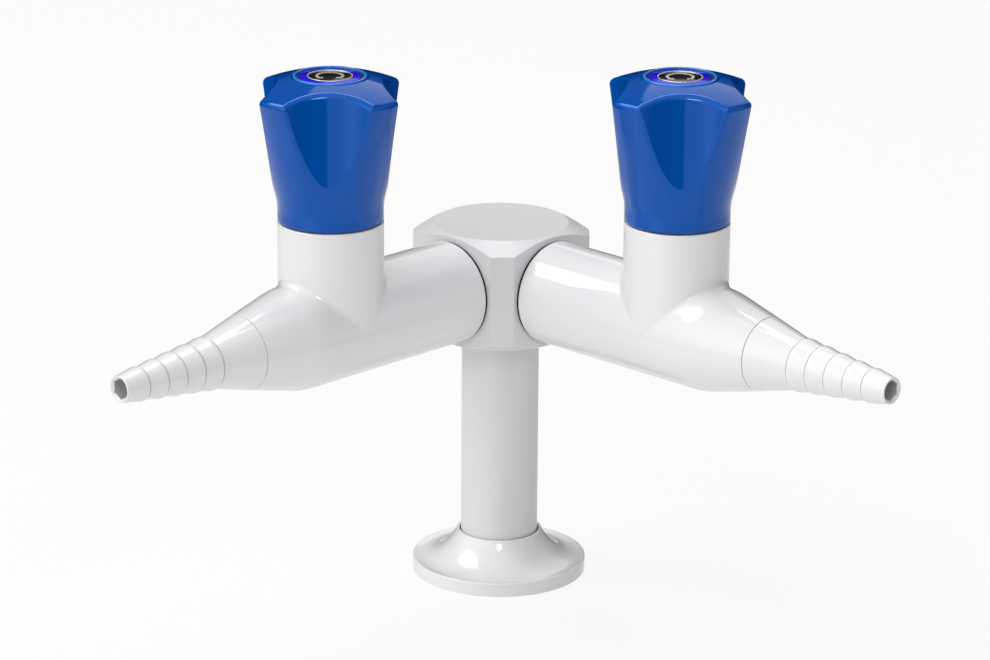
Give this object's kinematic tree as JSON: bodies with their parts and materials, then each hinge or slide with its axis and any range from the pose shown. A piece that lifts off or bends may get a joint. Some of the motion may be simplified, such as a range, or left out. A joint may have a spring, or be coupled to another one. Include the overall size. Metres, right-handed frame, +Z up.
{
  "type": "laboratory needle valve",
  "caption": "Bench column with a square hub and two angled needle valves, each with a lobed knob and a ribbed hose tail, for laboratory gas.",
  "frame": {"origin": "centre of the flange underside on the column axis, at the mouth of the supply thread", "axes": "+Z up the column, +X along the line from the left hose tail to the right one, -Y towards the side that both valves point to; the shape is the same on both sides of X = 0"},
  "size_m": [0.2492, 0.1546, 0.1913],
  "materials": {
    "coat_gloss": "glossy white powder coat",
    "coat_satin": "satin light grey powder coat",
    "knob_blue": "moulded glossy blue plastic",
    "ring_blue": "glossy light blue plastic",
    "cap_violet": "glossy violet-blue plastic",
    "bezel_silver": "bright thin bezel",
    "plate_black": "glossy black disc with a plain turn mark",
    "brass": "machined brass",
    "steel": "turned stainless steel",
    "seal_rubber": "dull black seal",
    "seal_fibre": "dull green fibre seal",
    "slide_plastic": "matt dark low-friction plastic"
  },
  "bodies": {
    "root": {"hub": "coat_satin", "column_tube": "coat_satin", "riser_pipe": "brass", "riser_seals": "seal_rubber", "column_foot": "brass", "flange_cover": "coat_gloss", "flange_gasket": "seal_rubber", "valve_body_left": "coat_gloss", "arm_nipple_left": "brass", "arm_gasket_left": "seal_rubber", "seat_insert_left": "brass", "bonnet_left": "brass", "bonnet_seal_left": "seal_fibre", "thrust_washer_left": "slide_plastic", "nozzle_left": "coat_gloss", "nozzle_seal_left": "seal_rubber", "valve_body_right": "coat_gloss", "arm_nipple_right": "brass", "arm_gasket_right": "seal_rubber", "seat_insert_right": "brass", "bonnet_right": "brass", "bonnet_seal_right": "seal_fibre", "thrust_washer_right": "slide_plastic", "nozzle_right": "coat_gloss", "nozzle_seal_right": "seal_rubber"},
    "handle_left": {"knob_left": "knob_blue", "knob_insert_left": "brass", "knob_screw_left": "steel", "cap_ring_left": "ring_blue", "cap_left": "cap_violet", "bezel_left": "bezel_silver", "index_plate_left": "plate_black", "spindle_left": "steel", "spindle_seals_left": "seal_rubber", "spindle_clip_left": "steel"},
    "stem_left": {"needle_carrier_left": "brass", "needle_left": "steel"},
    "handle_right": {"knob_right": "knob_blue", "knob_insert_right": "brass", "knob_screw_right": "steel", "cap_ring_right": "ring_blue", "cap_right": "cap_violet", "bezel_right": "bezel_silver", "index_plate_right": "plate_black", "spindle_right": "steel", "spindle_seals_right": "seal_rubber", "spindle_clip_right": "steel"},
    "stem_right": {"needle_carrier_right": "brass", "needle_right": "steel"}
  },
  "joints": [
    {"name": "knob_turn_left", "type": "hinge", "parent": "root", "child": "handle_left", "pos_m": [-0.05657, -0.05657, 0.143], "axis": [0, 0, 1], "range_deg": [0, 765]},
    {"name": "needle_lift_left", "type": "slide", "parent": "root", "child": "stem_left", "axis": [0, 0, 1], "range_m": [0, 0.00266]},
    {"name": "knob_turn_right", "type": "hinge", "parent": "root", "child": "handle_right", "pos_m": [0.05657, -0.05657, 0.143], "axis": [0, 0, 1], "range_deg": [0, 765]},
    {"name": "needle_lift_right", "type": "slide", "parent": "root", "child": "stem_right", "axis": [0, 0, 1], "range_m": [0, 0.00266]}
  ],
  "couplings": [
    {"joint": "knob_turn_left", "follows": "needle_lift_left", "rad_per_m": 5026.5},
    {"joint": "knob_turn_right", "follows": "needle_lift_right", "rad_per_m": 5026.5}
  ]
}
